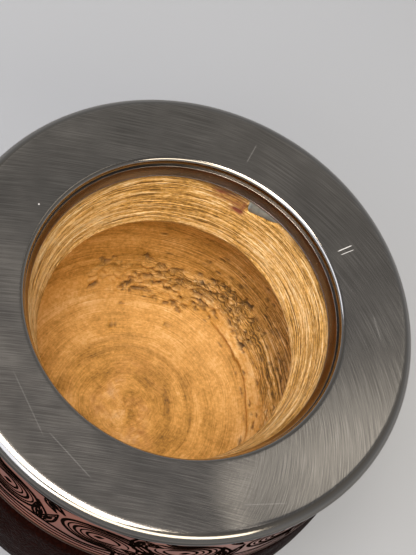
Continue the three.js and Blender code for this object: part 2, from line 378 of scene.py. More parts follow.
def chip_depth(turn):
    """How far down the chip reaches: steep where the flake started, then running out."""
    along = np.clip(-apart(turn, chip_start) / (chip_start - chip_end), 0, 1)
    return chip_drop * rise(along, 0, 0.09) * (1 - along**1.3)


chip = 1 - rise(inside_run, chip_depth(turn) - 0.2, chip_depth(turn) + 0.2)
nick = bump(apart(turn, nick_toward), 0, nick_spread) * (1 - rise(inside_run, 0.4, 1.8))
cut = cut * (1 - chip * (chip_depth(turn) > 0)) + 3.0 * chip * rise(chip_depth(turn), 0.0, 0.3) + 1.2 * nick
cut = cut + 0.12 * drift(inside_run * 0, turn, 60, 13) * (1 - rise(inside_run, 0, 1.0))

inside_normal = outward(np.column_stack([inside[:, 0], height - inside[:, 1]]))
gourd_radius = radius - cut * inside_normal[:, 0][:, None]
gourd_z = height - depth - cut * inside_normal[:, 1][:, None]

body_clearance = 2.1
belly_radius, belly_depth = 43.4, 35.0
body_bottom, upper_height, fullness = 9.0, 57.0, 2.4


def body_radius(z, inset=0.0):
    """Radius of the dressed body at a height, or of a skin inset from it."""
    z = np.asarray(z, float)
    belly_z = height - belly_depth
    lower = belly_z - body_bottom - inset
    share = np.clip((belly_z - z) / lower, 0, 1)
    above = np.sqrt(np.clip(1 - ((z - belly_z) / upper_height) ** 2, 0, 1))
    return (belly_radius - inset) * np.where(z >= belly_z, above, (1 - share**fullness) ** (1 / fullness))


outside_z = np.linspace(body_bottom + body_clearance + 0.01, height - 23, 14)
outside = list(zip(body_radius(outside_z, body_clearance), outside_z))
neck_radius, sawn_edge_radius = 38.3, 30.6
outside += [(neck_radius, height - 18.5), (neck_radius, height - mouth_depth)]
outside += [(sawn_edge_radius, height - mouth_depth)]
outside = np.array(outside)
gourd_radius = np.vstack([np.repeat(outside[:, :1], gourd_columns, 1), gourd_radius])
gourd_z = np.vstack([np.repeat(outside[:, 1:], gourd_columns, 1), gourd_z])
blank = np.zeros((len(outside), gourd_columns))

swirl = drift(radius / 3.2 + 0.012 * apart(turn, 200), turn, 7, 35)
heart = bump(radius, 6, 12)
growth = np.clip(drift(radius / 1.3 + 0.8 * swirl, turn, 8, 15), 0, 1) * bump(radius, 12, 10)
tone_and_painted_light = 0.6 + 0.1 * drift(wavy / 1.7, turn, 12, 14) - 0.03 * in_throat
# Painted shade: the wall is darker, most of all on the right under the overhang.
tone_and_painted_light = tone_and_painted_light - in_wall * (0.03 + 0.08 * ragged) + 0.1 * shelf + 0.08 * crumbs - 0.05 * crumb_zone
# Painted light: the throat is lighter on the left. It is also darker at the back.
tone_and_painted_light = tone_and_painted_light + in_throat * (0.16 * bump(apart(turn, 185), 0, 90) - 0.1 * bump(apart(turn, 105), 0, 45))
# Painted shade: the wall is darker again, and the floor darker on the right.
tone_and_painted_light = tone_and_painted_light - 0.06 * in_wall - 0.04 * on_floor * bump(apart(turn, 30), 0, 90)
# Painted light: the floor is lighter towards the front left.
tone_and_painted_light = tone_and_painted_light + 0.07 * on_floor * bump(apart(turn, 215), 0, 150) * bump(radius, 8, 20)
tone_and_painted_light = tone_and_painted_light + on_floor * (0.08 * drift(inside_run / 3.4, turn, 8, 16) - 0.2 * growth)
# Painted shade: right_floor darkens the right of the floor a little more.
right_floor = bump(apart(turn, 20), 0, 80) * bump(radius, 18, 14)
tone_and_painted_light = tone_and_painted_light + heart * (0.17 * swirl - 0.07) - 0.03 * on_floor * right_floor
grain = in_throat + in_wall * (0.3 + 0.7 * ragged) + on_floor * 0.22 + 0.3 * crumb_zone + 0.1 * shelf
# Painted shade darkens the pits, the torn hollows and the streaks between the wall's ridges.
dark_marks_and_shade = np.clip(pits * 1.1, 0, 0.75) + 0.85 * hollows
dark_marks_and_shade = dark_marks_and_shade + 0.4 * in_wall * ragged * np.clip(drift(wavy / 0.8, turn, 60, 17) - 0.25, 0, 1)
dark_marks_and_shade = dark_marks_and_shade + 0.35 * shelf * np.clip(drift(inside_run / 0.5, turn, 330, 36) - 0.5, 0, 1)
# A darker line runs along the shelf's step.
dark_marks_and_shade = dark_marks_and_shade + 0.14 * shelf_side * bump(radius, shelf_edge, 0.7) * rise(depth, 46, 50)
# Dark dashes in the throat, the floor's growth rings and a band just under the sawn edge are darker marks.
dark_marks_and_shade = dark_marks_and_shade + 0.55 * in_throat * np.clip(drift(wavy / 0.42, turn, 22, 50) - 0.42, 0, 0.6)
growth_ring = np.clip(drift(radius / 0.6 + 0.5 * swirl, turn, 6, 51) - 0.25, 0, 1)
dark_marks_and_shade = dark_marks_and_shade + 0.4 * on_floor * growth_ring * bump(radius, 15, 9) * bump(apart(turn, 140), 0, 120)
near_mouth = 1 - rise(inside_run, 0.2, 1.6)
dark_marks_and_shade = dark_marks_and_shade + 0.6 * near_mouth * np.clip(drift(inside_run * 0, turn, 34, 19), 0, 1)
blush = bump(apart(turn, 97), 0, 10) * bump(inside_run, 1.0, 2.2)
blush = blush + bump(apart(turn, 92), 0, 5) * bump(inside_run, 3.2, 1.6)
blush = blush + 0.3 * on_floor * bump(radius, 6, 12) * np.clip(0.5 + 0.9 * swirl, 0, 1)
blush = blush * (0.75 + 0.9 * drift(inside_run / 0.45, turn, 60, 37))
blush = blush + 0.7 * bump(apart(turn, 89.6), 0, 0.9) * bump(inside_run, 2, 3)

# Gives the eye dry honey-brown flesh, streaked round the cup, with painted shade in its pores and cracks and
# painted light and shade on its walls and floor.
gourd_skin, tree, shader = material("turned dry calabash, porous and unvarnished")
tone_and_painted_light_value, grain_value, run_value, dark_marks_and_shade_value, blush_value = [
    add(tree, "Attribute", attribute_name=key).outputs["Fac"]
    for key in ("tone_and_painted_light", "grain", "run", "dark_marks_and_shade", "blush")
]
place = add(tree, "TexCoord").outputs["Object"]
flat = add(tree, "VectorMath", {0: place, 1: (1.0, 1.0, 0.0)}, operation="MULTIPLY").outputs[0]
heading = add(tree, "VectorMath", {0: flat}, operation="NORMALIZE").outputs[0]


def ring_noise(round_scale, per_mm, detail):
    """Streaks that run round the cup: cells per radian of turn, and cells per mm across them."""
    across = add(tree, "Math", {0: run_value, 1: per_mm}, operation="MULTIPLY").outputs[0]
    lifted = add(tree, "CombineXYZ", {2: across}).outputs[0]
    spot = add(tree, "VectorMath", {0: heading, 1: (round_scale,) * 3, 2: lifted}, operation="MULTIPLY_ADD")
    texture = {"Vector": spot.outputs[0], "Scale": 1.0, "Detail": detail, "Roughness": 0.6}
    return add(tree, "TexNoise", texture).outputs["Fac"]


# Cutter rings about 0.5 mm apart, finer fibre streaks between them, and open pores.
lines = ring_noise(2.2, 4.0, 4.0)
streaks = ring_noise(26.0, 8.0, 3.0)
pores, mottle = [
    add(tree, "TexNoise", {"Vector": place, "Scale": per_m, "Detail": detail, "Roughness": rough}).outputs[0]
    for per_m, detail, rough in ((1500.0, 3.0, 0.65), (230.0, 4.0, 0.6))
]
both = add(tree, "Math", {0: streaks, 1: 0.55, 2: lines}, operation="MULTIPLY_ADD").outputs[0]
centred = add(tree, "Math", {0: both, 1: 0.775}, operation="SUBTRACT").outputs[0]
by_area = add(tree, "Math", {0: centred, 1: grain_value}, operation="MULTIPLY").outputs[0]
shade = add(tree, "Math", {0: by_area, 1: 2.9, 2: tone_and_painted_light_value}, operation="MULTIPLY_ADD").outputs[0]
specks = add(tree, "Math", {0: pores, 1: mottle}, operation="ADD").outputs[0]
specks = add(tree, "Math", {0: specks, 1: 1.0}, operation="SUBTRACT").outputs[0]
shade = add(tree, "Math", {0: specks, 1: 0.6, 2: shade}, operation="MULTIPLY_ADD").outputs[0]
wood = add(
    tree,
    "ValToRGB",
    {"Fac": shade},
    stops=[
        (0.1, colour("66460f")),
        (0.36, colour("ae8033")),
        (0.6, colour("d6a253")),
        (0.82, colour("ebbf7c")),
        (1.0, colour("f6d9a4")),
    ],
).outputs["Color"]
stained = add(tree, "Mix", {0: blush_value, 6: wood, 7: colour("7b3a22")}, data_type="RGBA").outputs[2]
marked_and_shaded = add(tree, "Mix", {0: dark_marks_and_shade_value, 6: stained, 7: colour("46290b")}, data_type="RGBA").outputs[2]
tree.links.new(marked_and_shaded, shader.inputs["Base Color"])
shader.inputs["Roughness"].default_value = 0.62
relief = add(tree, "Bump", {"Strength": 0.8, "Distance": 0.0002, "Height": shade})
tree.links.new(relief.outputs["Normal"], shader.inputs["Normal"])

gourd_faces = ring_faces(len(gourd_radius), gourd_columns)
gourd_points = turned(gourd_radius, gourd_z, gourd_columns)
middle = len(gourd_points)
gourd_points = np.vstack([gourd_points, [(0, 0, height - floor_depth), (0, 0, body_bottom + body_clearance)]])
last_ring = middle - gourd_columns
for j in range(gourd_columns):
    k = (j + 1) % gourd_columns
    gourd_faces.append((last_ring + j, last_ring + k, middle))
    gourd_faces.append((k, j, middle + 1))


def with_poles(outer, inner):
    """Attribute values for the outside rows, the inside rows and the two middle points."""
    rows = np.vstack([outer, np.broadcast_to(inner, (len(inside), gourd_columns))])
    return np.r_[np.clip(rows, -1e3, 1e3).ravel(), rows[-1].mean(), rows[0].mean()]


piece(
    "gourd_turned",
    gourd_points,
    gourd_faces,
    gourd_skin,
    "gourd_cup",
    {
        "tone_and_painted_light": with_poles(blank + 0.4, tone_and_painted_light),
        "grain": with_poles(blank, grain),
        "run": with_poles(blank, wavy),
        "dark_marks_and_shade": with_poles(blank, np.clip(dark_marks_and_shade, 0, 0.92)),
        "blush": with_poles(blank, np.clip(blush, 0, 1)),
    },
)

# --- Bedding ------------------------------------------------------------------------------
# Grey two-part putty set between the rim, the band and the gourd. It only shows where it has
# filled the chip and the nick in the gourd's sawn edge, and it dries with a slight gloss.

bedding_low, bedding_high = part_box("bedding_ring")
bedding_top = bedding_high.z / MM
bedding_bottom = bedding_low.z / MM
bedding_columns = 360
putty_turn = (np.arange(bedding_columns) / bedding_columns)[None, :]
putty_outline = np.array(
    [
        (38.5, bedding_bottom),
        (40.5, bedding_bottom),
        (40.05, bedding_top),
        (29.3, bedding_top),
        (28.3, height - 4.2),
        (28.4, height - 4.6),
        (29.4, height - 4.65),
        (38.4, height - 4.65),
    ]
)
tongue = chip_depth(putty_turn)[0]
plug = bump(apart(putty_turn, nick_toward), 0, nick_spread)[0]
putty_radius = np.repeat(putty_outline[:, :1], bedding_columns, 1)
putty_z = np.repeat(putty_outline[:, 1:], bedding_columns, 1)
putty_z[5] -= 0.93 * tongue
putty_radius[5] -= (0.9 + 0.29 * tongue) * np.minimum(tongue, 1)
putty_z[6] -= 0.97 * tongue + 0.8 * plug

# Gives the eye a pale grey patch, slightly lumpy and slightly glossy.
putty, tree, shader = material("set grey epoxy putty")
place = add(tree, "TexCoord").outputs["Object"]
lumps = add(tree, "TexNoise", {"Vector": place, "Scale": 700.0, "Detail": 3.0})
shade = add(
    tree, "ValToRGB", {"Fac": lumps.outputs["Fac"]}, stops=[(0.3, colour("8d918c")), (0.7, colour("b9bcb4"))]
)
tree.links.new(shade.outputs["Color"], shader.inputs["Base Color"])
shader.inputs["Roughness"].default_value = 0.3
relief = add(tree, "Bump", {"Strength": 0.4, "Distance": 0.0001, "Height": lumps.outputs["Fac"]})
tree.links.new(relief.outputs["Normal"], shader.inputs["Normal"])

piece(
    "bedding_putty",
    turned(putty_radius, putty_z, bedding_columns),
    ring_faces(len(putty_outline), bedding_columns, closed_outline=True),
    putty,
    "bedding_ring",
)

# --- Inner collar -------------------------------------------------------------------------
# A short stainless tube under the lip that narrows downward, satin-polished on the lathe. It
# mirrors the gourd softly, and its lower edge is rounded, so it shows as a thin bright line.

collar_low, collar_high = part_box("inner_collar")
bore_radius = 27.1
collar_wall = 1.0
collar_narrowing = 0.8
collar_top, collar_bottom = collar_high.z / MM, collar_low.z / MM
edge = 0.25
fall = np.linspace(0, 0.96, 24)
collar_z = collar_top + (collar_bottom + 2 * edge - collar_top) * fall
collar_outline = np.vstack(
    [
        arc((bore_radius + edge, collar_bottom + edge), edge, 120, 270, 12),
        [(bore_radius + collar_wall, collar_bottom)],
        [(bore_radius + collar_wall, collar_top)],
        np.column_stack([bore_radius + 0.05 + collar_narrowing * (1 - fall**1.3), collar_z]),
    ]
)

# Gives the eye a soft, dusty mirror that takes up the gourd's colour.
satin_steel, tree, shader = material("stainless steel, satin-polished on the lathe")
place = add(tree, "TexCoord").outputs["Object"]
dust = add(tree, "TexVoronoi", {"Vector": place, "Scale": 900.0})
near_grain = {"Value": dust.outputs["Distance"], 1: 0.04, 2: 0.12, 3: 0.8, 4: 0.0}
speck = add(tree, "MapRange", near_grain).outputs[0]
smear = add(tree, "TexNoise", {"Vector": place, "Scale": 150.0, "Detail": 4.0})
shade = add(
    tree, "ValToRGB", {"Fac": smear.outputs["Fac"]}, stops=[(0.3, colour("8a8178")), (0.7, colour("a09790"))]
)
dusty = add(tree, "Mix", {0: speck, 6: shade.outputs["Color"], 7: grey(0.8)}, data_type="RGBA").outputs[2]
tree.links.new(dusty, shader.inputs["Base Color"])
shader.inputs["Metallic"].default_value = 1.0
shader.inputs["Roughness"].default_value = 0.24

metal_columns = 256


def hoop(name, outline, finish, node, columns=metal_columns):
    """A closed outline turned all the way round."""
    outline = np.asarray(outline)
    points = turned(outline[:, :1], outline[:, 1:], columns)
    faces = ring_faces(len(outline), columns, closed_outline=True)
    return piece(name, points, faces, finish, node)


hoop("collar_tube", collar_outline, satin_steel, "inner_collar")

# --- Rim plate ----------------------------------------------------------------------------
# Spun stainless sheet with its edge rolled under and its bore rolled down. The flat was rubbed
# with an abrasive pad swung in long arcs, so fine hairlines cross it; both rolls were polished.

edge_width, edge_drop, edge_under, lip_roll, sheet = 2.1, 1.6, 1.2, 0.9, 1.2
rim_outer = rim_radius / MM
rim_bottom = rim_low.z / MM
shoulder = np.radians(np.linspace(0, 90, 22))
shoulder_r = rim_outer - edge_width + edge_width * np.cos(shoulder)
shoulder_z = height - edge_drop + edge_drop * np.sin(shoulder)
lip_radius, lip_depth = 28.15, 1.9
lip_middle = (lip_radius + lip_roll, height - lip_roll)
rim_outline = np.vstack(
    [
        [(rim_outer - edge_under - 0.4, rim_bottom)],
        arc((rim_outer - edge_under, rim_bottom + edge_under), edge_under, -90, 0, 8),
        np.column_stack([shoulder_r, shoulder_z]),
        spaced([(rim_outer - edge_width - 0.2, height), (lip_middle[0] + 0.2, height)], 1.2),
        arc(lip_middle, lip_roll, 90, 180, 18),
        [(lip_radius - 0.12, height - lip_depth)],
        [(lip_radius + 0.7, height - lip_depth)],
        [(lip_radius + 0.9, height - sheet)],
        [(rim_outer - edge_width, height - sheet)],
    ]
)

# Gives the eye fine crossing hairlines that stretch each reflection across them.
brushed_steel, tree, shader = material("stainless steel, hand-brushed in long arcs")
place = add(tree, "TexCoord").outputs["Object"]
warp = add(tree, "TexNoise", {"Vector": place, "Scale": 45.0, "Detail": 1.0})


def brushing(centre_x, centre_y, hair_length):
    """Hairlines swung about a centre, in metres: their strength and the direction across them."""
    centre = (centre_x, centre_y, rim_z)
    swing = add(tree, "VectorMath", {0: place, 1: centre}, operation="SUBTRACT").outputs[0]
    parts = add(tree, "SeparateXYZ", {0: swing})
    reach = add(tree, "VectorMath", {0: swing}, operation="LENGTH").outputs["Value"]
    wander = {0: warp.outputs["Fac"], 1: 0.0007, 2: reach}
    bent = add(tree, "Math", wander, operation="MULTIPLY_ADD").outputs[0]
    angle = add(tree, "Math", {0: parts.outputs[1], 1: parts.outputs[0]}, operation="ARCTAN2").outputs[0]
    swing_radius = math.hypot(centre_x, centre_y)
    stretch = 0.0002 * swing_radius / hair_length
    along = add(tree, "Math", {0: angle, 1: stretch}, operation="MULTIPLY").outputs[0]
    stroke = add(tree, "CombineXYZ", {0: bent, 1: along}).outputs[0]
    texture = {"Vector": stroke, "Scale": 6400.0, "Detail": 2.0, "Roughness": 0.6}
    hairs = add(tree, "TexNoise", texture, noise_dimensions="2D")
    level = add(tree, "VectorMath", {0: swing, 1: (1.0, 1.0, 0.0)}, operation="MULTIPLY").outputs[0]
    return hairs.outputs["Fac"], add(tree, "VectorMath", {0: level}, operation="NORMALIZE").outputs[0]


# The pad was swung two ways: almost straight over the left half, in tighter arcs over the right.
left_hairs, left_across = brushing(0.07, -0.2, 0.012)
right_hairs, right_across = brushing(-0.0015, -0.027, 0.007)
side = add(tree, "VectorMath", {0: place, 1: (0.887, 0.463, 0.0)}, operation="DOT_PRODUCT").outputs["Value"]
side = add(tree, "Math", {0: warp.outputs["Fac"], 1: 0.01, 2: side}, operation="MULTIPLY_ADD").outputs[0]
on_right = add(tree, "MapRange", {"Value": side, 1: 0.009, 2: 0.021, 3: 0.0, 4: 1.0}).outputs[0]
hairs = add(tree, "Mix", {0: on_right, 2: left_hairs, 3: right_hairs}).outputs[0]
across_hairs = add(tree, "Mix", {0: on_right, 4: left_across, 5: right_across}, data_type="VECTOR").outputs[1]
haze = add(tree, "TexNoise", {"Vector": place, "Scale": 70.0, "Detail": 4.0, "Roughness": 0.6})
tinted = add(tree, "Math", {0: haze.outputs["Fac"], 1: 0.35, 2: hairs}, operation="MULTIPLY_ADD").outputs[0]
shade = add(
    tree,
    "ValToRGB",
    {"Fac": tinted},
    stops=[(0.5, colour("95928e")), (0.68, colour("a6a39f")), (0.86, colour("b8b5b1"))],
)


def scratch(start, end, width, strength):
    """Strength of a bright scratch between two points on the flat, all in millimetres."""
    start, end = Vector((*start, height)) * MM, Vector((*end, height)) * MM
    length = (end - start).length
    way = (end - start) / length
    from_start = add(tree, "VectorMath", {0: place, 1: start}, operation="SUBTRACT").outputs[0]
    along = add(tree, "VectorMath", {0: from_start, 1: way}, operation="DOT_PRODUCT").outputs["Value"]
    sideways = (-way.y, way.x, 0)
    across = add(tree, "VectorMath", {0: from_start, 1: sideways}, operation="DOT_PRODUCT").outputs["Value"]
    off_middle = add(tree, "Math", {0: along, 1: length / 2}, operation="SUBTRACT").outputs[0]
    past_end = add(tree, "Math", {0: off_middle}, operation="ABSOLUTE").outputs[0]
    fade = {"Value": past_end, 1: length * 0.35, 2: length / 2, 3: strength, 4: 0.0}
    inside_ends = add(tree, "MapRange", fade)
    aside = add(tree, "Math", {0: across}, operation="ABSOLUTE").outputs[0]
    on_line = add(tree, "MapRange", {"Value": aside, 1: 0.0, 2: width * MM, 3: 1.0, 4: 0.0}).outputs[0]
    return add(tree, "Math", {0: inside_ends.outputs[0], 1: on_line}, operation="MULTIPLY").outputs[0]


# Knocks from a bench: two bright ticks side by side, and longer faint ones.
knocks = [
    scratch((19.1, 24.3), (21.1, 27.3), 0.13, 1.0),
    scratch((19.9, 24.0), (21.8, 26.7), 0.11, 0.8),
    scratch((-3.6, 36.2), (-3.5, 31.2), 0.16, 0.16),
    scratch((-9.0, -33.0), (1.5, -36.4), 0.14, 0.14),
    scratch((-19.0, -27.0), (-8.5, -34.5), 0.12, 0.12),
    scratch((-34.5, -9.0), (-30.0, -14.0), 0.12, 0.14),
    scratch((30.0, 16.5), (33.6, 12.2), 0.12, 0.16),
    scratch((24.0, -27.5), (31.0, -23.0), 0.12, 0.14),
]
marks = knocks[0]
for knock in knocks[1:]:
    marks = add(tree, "Math", {0: marks, 1: knock}, operation="MAXIMUM").outputs[0]
specks = add(tree, "TexVoronoi", {"Vector": place, "Scale": 160.0})
near_speck = {"Value": specks.outputs["Distance"], 1: 0.012, 2: 0.035, 3: 0.8, 4: 0.0}
speck = add(tree, "MapRange", near_speck).outputs[0]
marks = add(tree, "Math", {0: marks, 1: speck}, operation="MAXIMUM").outputs[0]
marked = add(tree, "Mix", {0: marks, 6: shade.outputs["Color"], 7: grey(1.0)}, data_type="RGBA").outputs[2]
tree.links.new(marked, shader.inputs["Base Color"])
shine = add(tree, "Math", {0: marks, 1: -0.9, 2: 1.0}, operation="MULTIPLY_ADD").outputs[0]
tree.links.new(shine, shader.inputs["Metallic"])
shader.inputs["Anisotropic"].default_value = 0.7
rough = add(tree, "MapRange", {"Value": haze.outputs["Fac"], 1: 0.3, 2: 0.7, 3: 0.17, 4: 0.22})
tree.links.new(rough.outputs[0], shader.inputs["Roughness"])
relief = add(tree, "Bump", {"Strength": 0.1, "Distance": 0.00002, "Height": hairs})
tree.links.new(relief.outputs["Normal"], shader.inputs["Normal"])
tree.links.new(across_hairs, shader.inputs["Tangent"])

# Both rolls are mirror-polished; their colour is painted dark round the bend as painted shade.
# Gives the eye a bright line along the top of each roll with a painted dark one beneath it.
rolled_steel, tree, shader = material("polished stainless steel, dark with paste under the bend")
place = add(tree, "TexCoord").outputs["Object"]
level = add(tree, "SeparateXYZ", {0: place}).outputs[2]
# Painted shade: the colour falls from polished grey to near black lower down each roll.
shade = add(
    tree,
    "ValToRGB",
    {"Fac": add(tree, "MapRange", {"Value": level, 1: rim_z - 0.0014, 2: rim_z - 0.0005}).outputs[0]},
    stops=[(0.0, colour("1d1917")), (1.0, colour("a09b94"))],
)
tree.links.new(shade.outputs["Color"], shader.inputs["Base Color"])
shader.inputs["Metallic"].default_value = 1.0
shader.inputs["Roughness"].default_value = 0.13

# Gives the eye a dark, greyish underside that hardly reflects; its darkness is painted shade.
shaded_underside_steel, tree, shader = material("stainless steel underside, painted dark as shade")
place = add(tree, "TexCoord").outputs["Object"]
underside_mottle = add(tree, "TexNoise", {"Vector": place, "Scale": 300.0, "Detail": 3.0})
shade = add(
    tree, "ValToRGB", {"Fac": underside_mottle.outputs["Fac"]}, stops=[(0.3, colour("26221f")), (0.7, colour("4a443f"))]
)
tree.links.new(shade.outputs["Color"], shader.inputs["Base Color"])
shader.inputs["Metallic"].default_value = 1.0
shader.inputs["Roughness"].default_value = 0.4

rim = hoop("rim_brushed", rim_outline, brushed_steel, "rim_plate")
rim.data.materials.append(rolled_steel)
rim.data.materials.append(shaded_underside_steel)
for face in rim.data.polygons:
    if face.normal.z < 0.985:
        face.material_index = 1
    # The outer roll's outward and downward faces take the painted-shade underside steel.
    if face.normal.z < 0.02 and face.center.x**2 + face.center.y**2 > (0.95 * rim_radius) ** 2:
        face.material_index = 2

# --- Engraved band ------------------------------------------------------------------------
# A flared hoop of metal sheet, satin-brushed round its length, with two beads rolled in along its
# lower edge. Its red-brown colour is a painted reflection of a brown wooden table. It was engraved with
# running scrolls and leaves by hand.

band_low, band_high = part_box("engraved_band")
band_top, band_bottom = band_high.z / MM, band_low.z / MM
band_height = band_top - band_bottom
band_top_radius, band_bottom_radius, band_sheet = 41.0, 41.7, 0.8


def band_radius(z):
    return band_top_radius + (band_bottom_radius - band_top_radius) * (band_top - z) / band_height


bead_low, bead_high = band_bottom + 0.9, band_bottom + 2.1
face_z = np.linspace(band_bottom + 0.15, band_top - 0.15, 90)
groove = 0.16 * bump(face_z, bead_low, 0.24) + 0.16 * bump(face_z, bead_high, 0.24)
band_outline = np.vstack(
    [
        [(band_radius(band_bottom) - 0.15, band_bottom)],
        np.column_stack([band_radius(face_z) - groove, face_z]),
        [(band_top_radius - 0.15, band_top)],
        [(band_top_radius - band_sheet, band_top)],
        [(band_bottom_radius - band_sheet, band_bottom)],
    ]
)

# Gives the eye a warm red-brown sheen with faint lines round the hoop; the red-brown is a painted reflection
# of a brown wooden table.
reflection_tinted_metal, tree, shader = material("rose bronze sheet, satin-brushed round the hoop")
place = add(tree, "TexCoord").outputs["Object"]
parts = add(tree, "SeparateXYZ", {0: place})
round_angle = add(tree, "Math", {0: parts.outputs[1], 1: parts.outputs[0]}, operation="ARCTAN2").outputs[0]
unrolled = add(tree, "CombineXYZ", {0: round_angle, 1: parts.outputs[2]}).outputs[0]
long_stroke = add(tree, "VectorMath", {0: unrolled, 1: (0.002, 1.0, 1.0)}, operation="MULTIPLY").outputs[0]
hairs = add(tree, "TexNoise", {"Vector": long_stroke, "Scale": 4200.0, "Detail": 3.0}, noise_dimensions="2D")
reflection_mottle = add(tree, "TexNoise", {"Vector": place, "Scale": 120.0, "Detail": 4.0})
# Painted reflection: this red-brown ramp stands in for a brown wooden table mirrored in the metal.
shade = add(
    tree,
    "ValToRGB",
    {"Fac": reflection_mottle.outputs["Fac"]},
    stops=[(0.3, colour("7c371e")), (0.7, colour("9e502f"))],
)
tree.links.new(shade.outputs["Color"], shader.inputs["Base Color"])
shader.inputs["Metallic"].default_value = 1.0
shader.inputs["Roughness"].default_value = 0.3
relief = add(tree, "Bump", {"Strength": 0.3, "Distance": 0.00002, "Height": hairs.outputs["Fac"]})
tree.links.new(relief.outputs["Normal"], shader.inputs["Normal"])

hoop("band_hoop", band_outline, reflection_tinted_metal, "engraved_band", 360)

# --- Engraving ----------------------------------------------------------------------------
# The cut lines are filled with black stoving lacquer and rubbed back, so each is a crisp,
# slightly proud inlay. The pattern repeats round the band: a double stem that waves along it, two
# curled drops of nested lines in each repeat, and leaves that spring from the stem.

repeats = 8
engraving_radius = 41.35
unit = 2 * math.pi * engraving_radius / repeats
inlay_points, inlay_faces = [], []


def inlay(line, width, taper=0.18):
    """A lacquer line along points given as distance round the band and height up it."""
    line = np.asarray(line, float)
    along = np.gradient(line, axis=0)
    side = np.column_stack([-along[:, 1], along[:, 0]])
    side /= np.maximum(np.linalg.norm(side, axis=1), 1e-9)[:, None]
    share = np.linspace(0, 1, len(line))
    ends = np.clip(np.minimum(share, 1 - share) / taper, 0, 1) if taper else 1 + 0 * share
    half = 0.5 * width * np.maximum(np.sin(ends * math.pi / 2), 0.15)
    proud, sunk = 0.02, -0.12
    start = len(inlay_points)
    for (x, y), (sx, sy), h in zip(line, side, half):
        for way, lift in ((1, proud), (-1, proud), (-1, sunk), (1, sunk)):
            px, py = x + way * h * sx, min(max(y + way * h * sy, 0.15), band_height - 0.15)
            r = band_radius(band_bottom + py) + lift
            a = px / engraving_radius
            inlay_points.append((r * math.cos(a), r * math.sin(a), band_bottom + py))
    for i in range(len(line) - 1):
        low, high = start + 4 * i, start + 4 * (i + 1)
        for k in range(4):
            n = (k + 1) % 4
            inlay_faces.append((low + k, low + n, high + n, high + k))
    last = start + 4 * (len(line) - 1)
    inlay_faces.append((start + 3, start + 2, start + 1, start))
    inlay_faces.append((last, last + 1, last + 2, last + 3))


def drop(core, size, heading, bend, tail, level):
    """One contour of a curled drop whose tail points along the heading; level 1 is the outermost."""
    t = np.linspace(0, 2 * math.pi, 54)
    from_tail = np.minimum(t, 2 * math.pi - t)
    r = size * level * (1 + tail * level * np.exp(-((from_tail / 0.52) ** 2)))
    angle = heading + t + bend * (r / size - level)
    shift = 0.16 * size * (1 - level)
    x = core[0] + shift * math.cos(heading) + 1.42 * r * np.cos(angle)
    y = core[1] + shift * math.sin(heading) + 0.9 * r * np.sin(angle)
    return np.column_stack([x, y])


def leaf(root, length, width, heading, curl):
    """Outline of a pointed leaf that curls to one side as it grows."""
    t = np.linspace(0, 1, 16)
    mid = np.column_stack([length * t, curl * length * t**2])
    swell = width * np.sin(math.pi * t**0.75) * (1 - 0.25 * t)
    lean = np.column_stack([-0.25 * swell * curl, swell])
    outline = np.vstack([mid + lean, (mid - lean)[::-1]])
    c, s = math.cos(heading), math.sin(heading)
    return outline @ np.array([[c, s], [-s, c]]) + root


def sprig(root, leaves):
    """Leaves that spring from one place, each with an inner contour and a solid black rib."""
    for heading, length, width, curl in leaves:
        way = np.array([math.cos(heading), math.sin(heading)])
        inlay(leaf(root, length, width, heading, curl), 0.4, taper=0.04)
        inner_root = root + 0.16 * length * way
        inlay(leaf(inner_root, 0.66 * length, 0.6 * width, heading, curl), 0.26, taper=0.04)
        rib = np.linspace(0.28, 0.62, 8)[:, None] * length * np.array([[1.0, 0.0]])
        rib[:, 1] = curl * rib[:, 0] ** 2 / length
        c, s = math.cos(heading), math.sin(heading)
        inlay(rib @ np.array([[c, s], [-s, c]]) + root, 0.55 * width, taper=0.5)


# Each sprig: distance along the unit, height, and its leaves as heading, length, width and curl.
sprigs = (
    (29.3, 3.6, ((1.5, 7.2, 1.15, 0.3), (0.95, 6.6, 1.1, 0.25), (2.15, 5.6, 1.0, -0.3))),
    (28.9, 13.9, ((-0.35, 4.6, 0.9, -0.25), (-1.25, 4.2, 0.8, 0.3))),
    (13.4, 12.9, ((-0.75, 4.4, 0.95, 0.3), (-1.5, 3.6, 0.75, -0.25))),
    (15.2, 3.9, ((2.3, 4.6, 0.95, 0.3), (1.55, 3.8, 0.8, -0.25), (0.1, 3.4, 0.6, 0.1))),
)
# Each contour of a drop, outermost first: its share of the full size and its line width.
drop_levels = ((1.0, 0.75), (0.85, 0.36), (0.7, 0.62), (0.54, 0.36), (0.38, 0.55))
for n in range(repeats):
    x0 = n * unit
    for core, heading, bend in (((6.9, 8.7), -0.35, -0.75), ((21.6, 8.5), math.pi - 0.35, -0.75)):
        core = np.array([x0 + core[0], core[1]])
        for level, width in drop_levels:
            inlay(drop(core, 4.6, heading, bend, 1.15, level), width, taper=0.06)
        seed = np.linspace(-0.9, 0.9, 9)
        inlay(np.column_stack([core[0] + seed, core[1] + 0.35 * seed]), 1.1, taper=0.5)
    for x, y, leaves in sprigs:
        sprig(np.array([x0 + x, y]), leaves)
    run = np.linspace(0, unit, 44)
    for lift, width in ((0.0, 0.44), (0.85, 0.26)):
        low_vine = 3.25 + lift + 0.42 * np.cos(4 * math.pi * (run - 13) / unit) - 0.5 * lift
        inlay(np.column_stack([x0 + run, low_vine]), width, taper=0)
    inlay(np.column_stack([x0 + run, 14.0 + 0.35 * np.cos(4 * math.pi * (run - 5) / unit)]), 0.4, taper=0)
whole = np.linspace(0, repeats * unit, 481)
rules = ((bead_low - band_bottom, 0.28), (bead_high - band_bottom, 0.28), (band_height - 0.6, 0.3))
for level, width in rules:
    inlay(np.column_stack([whole, np.full(len(whole), level)]), width, taper=0)

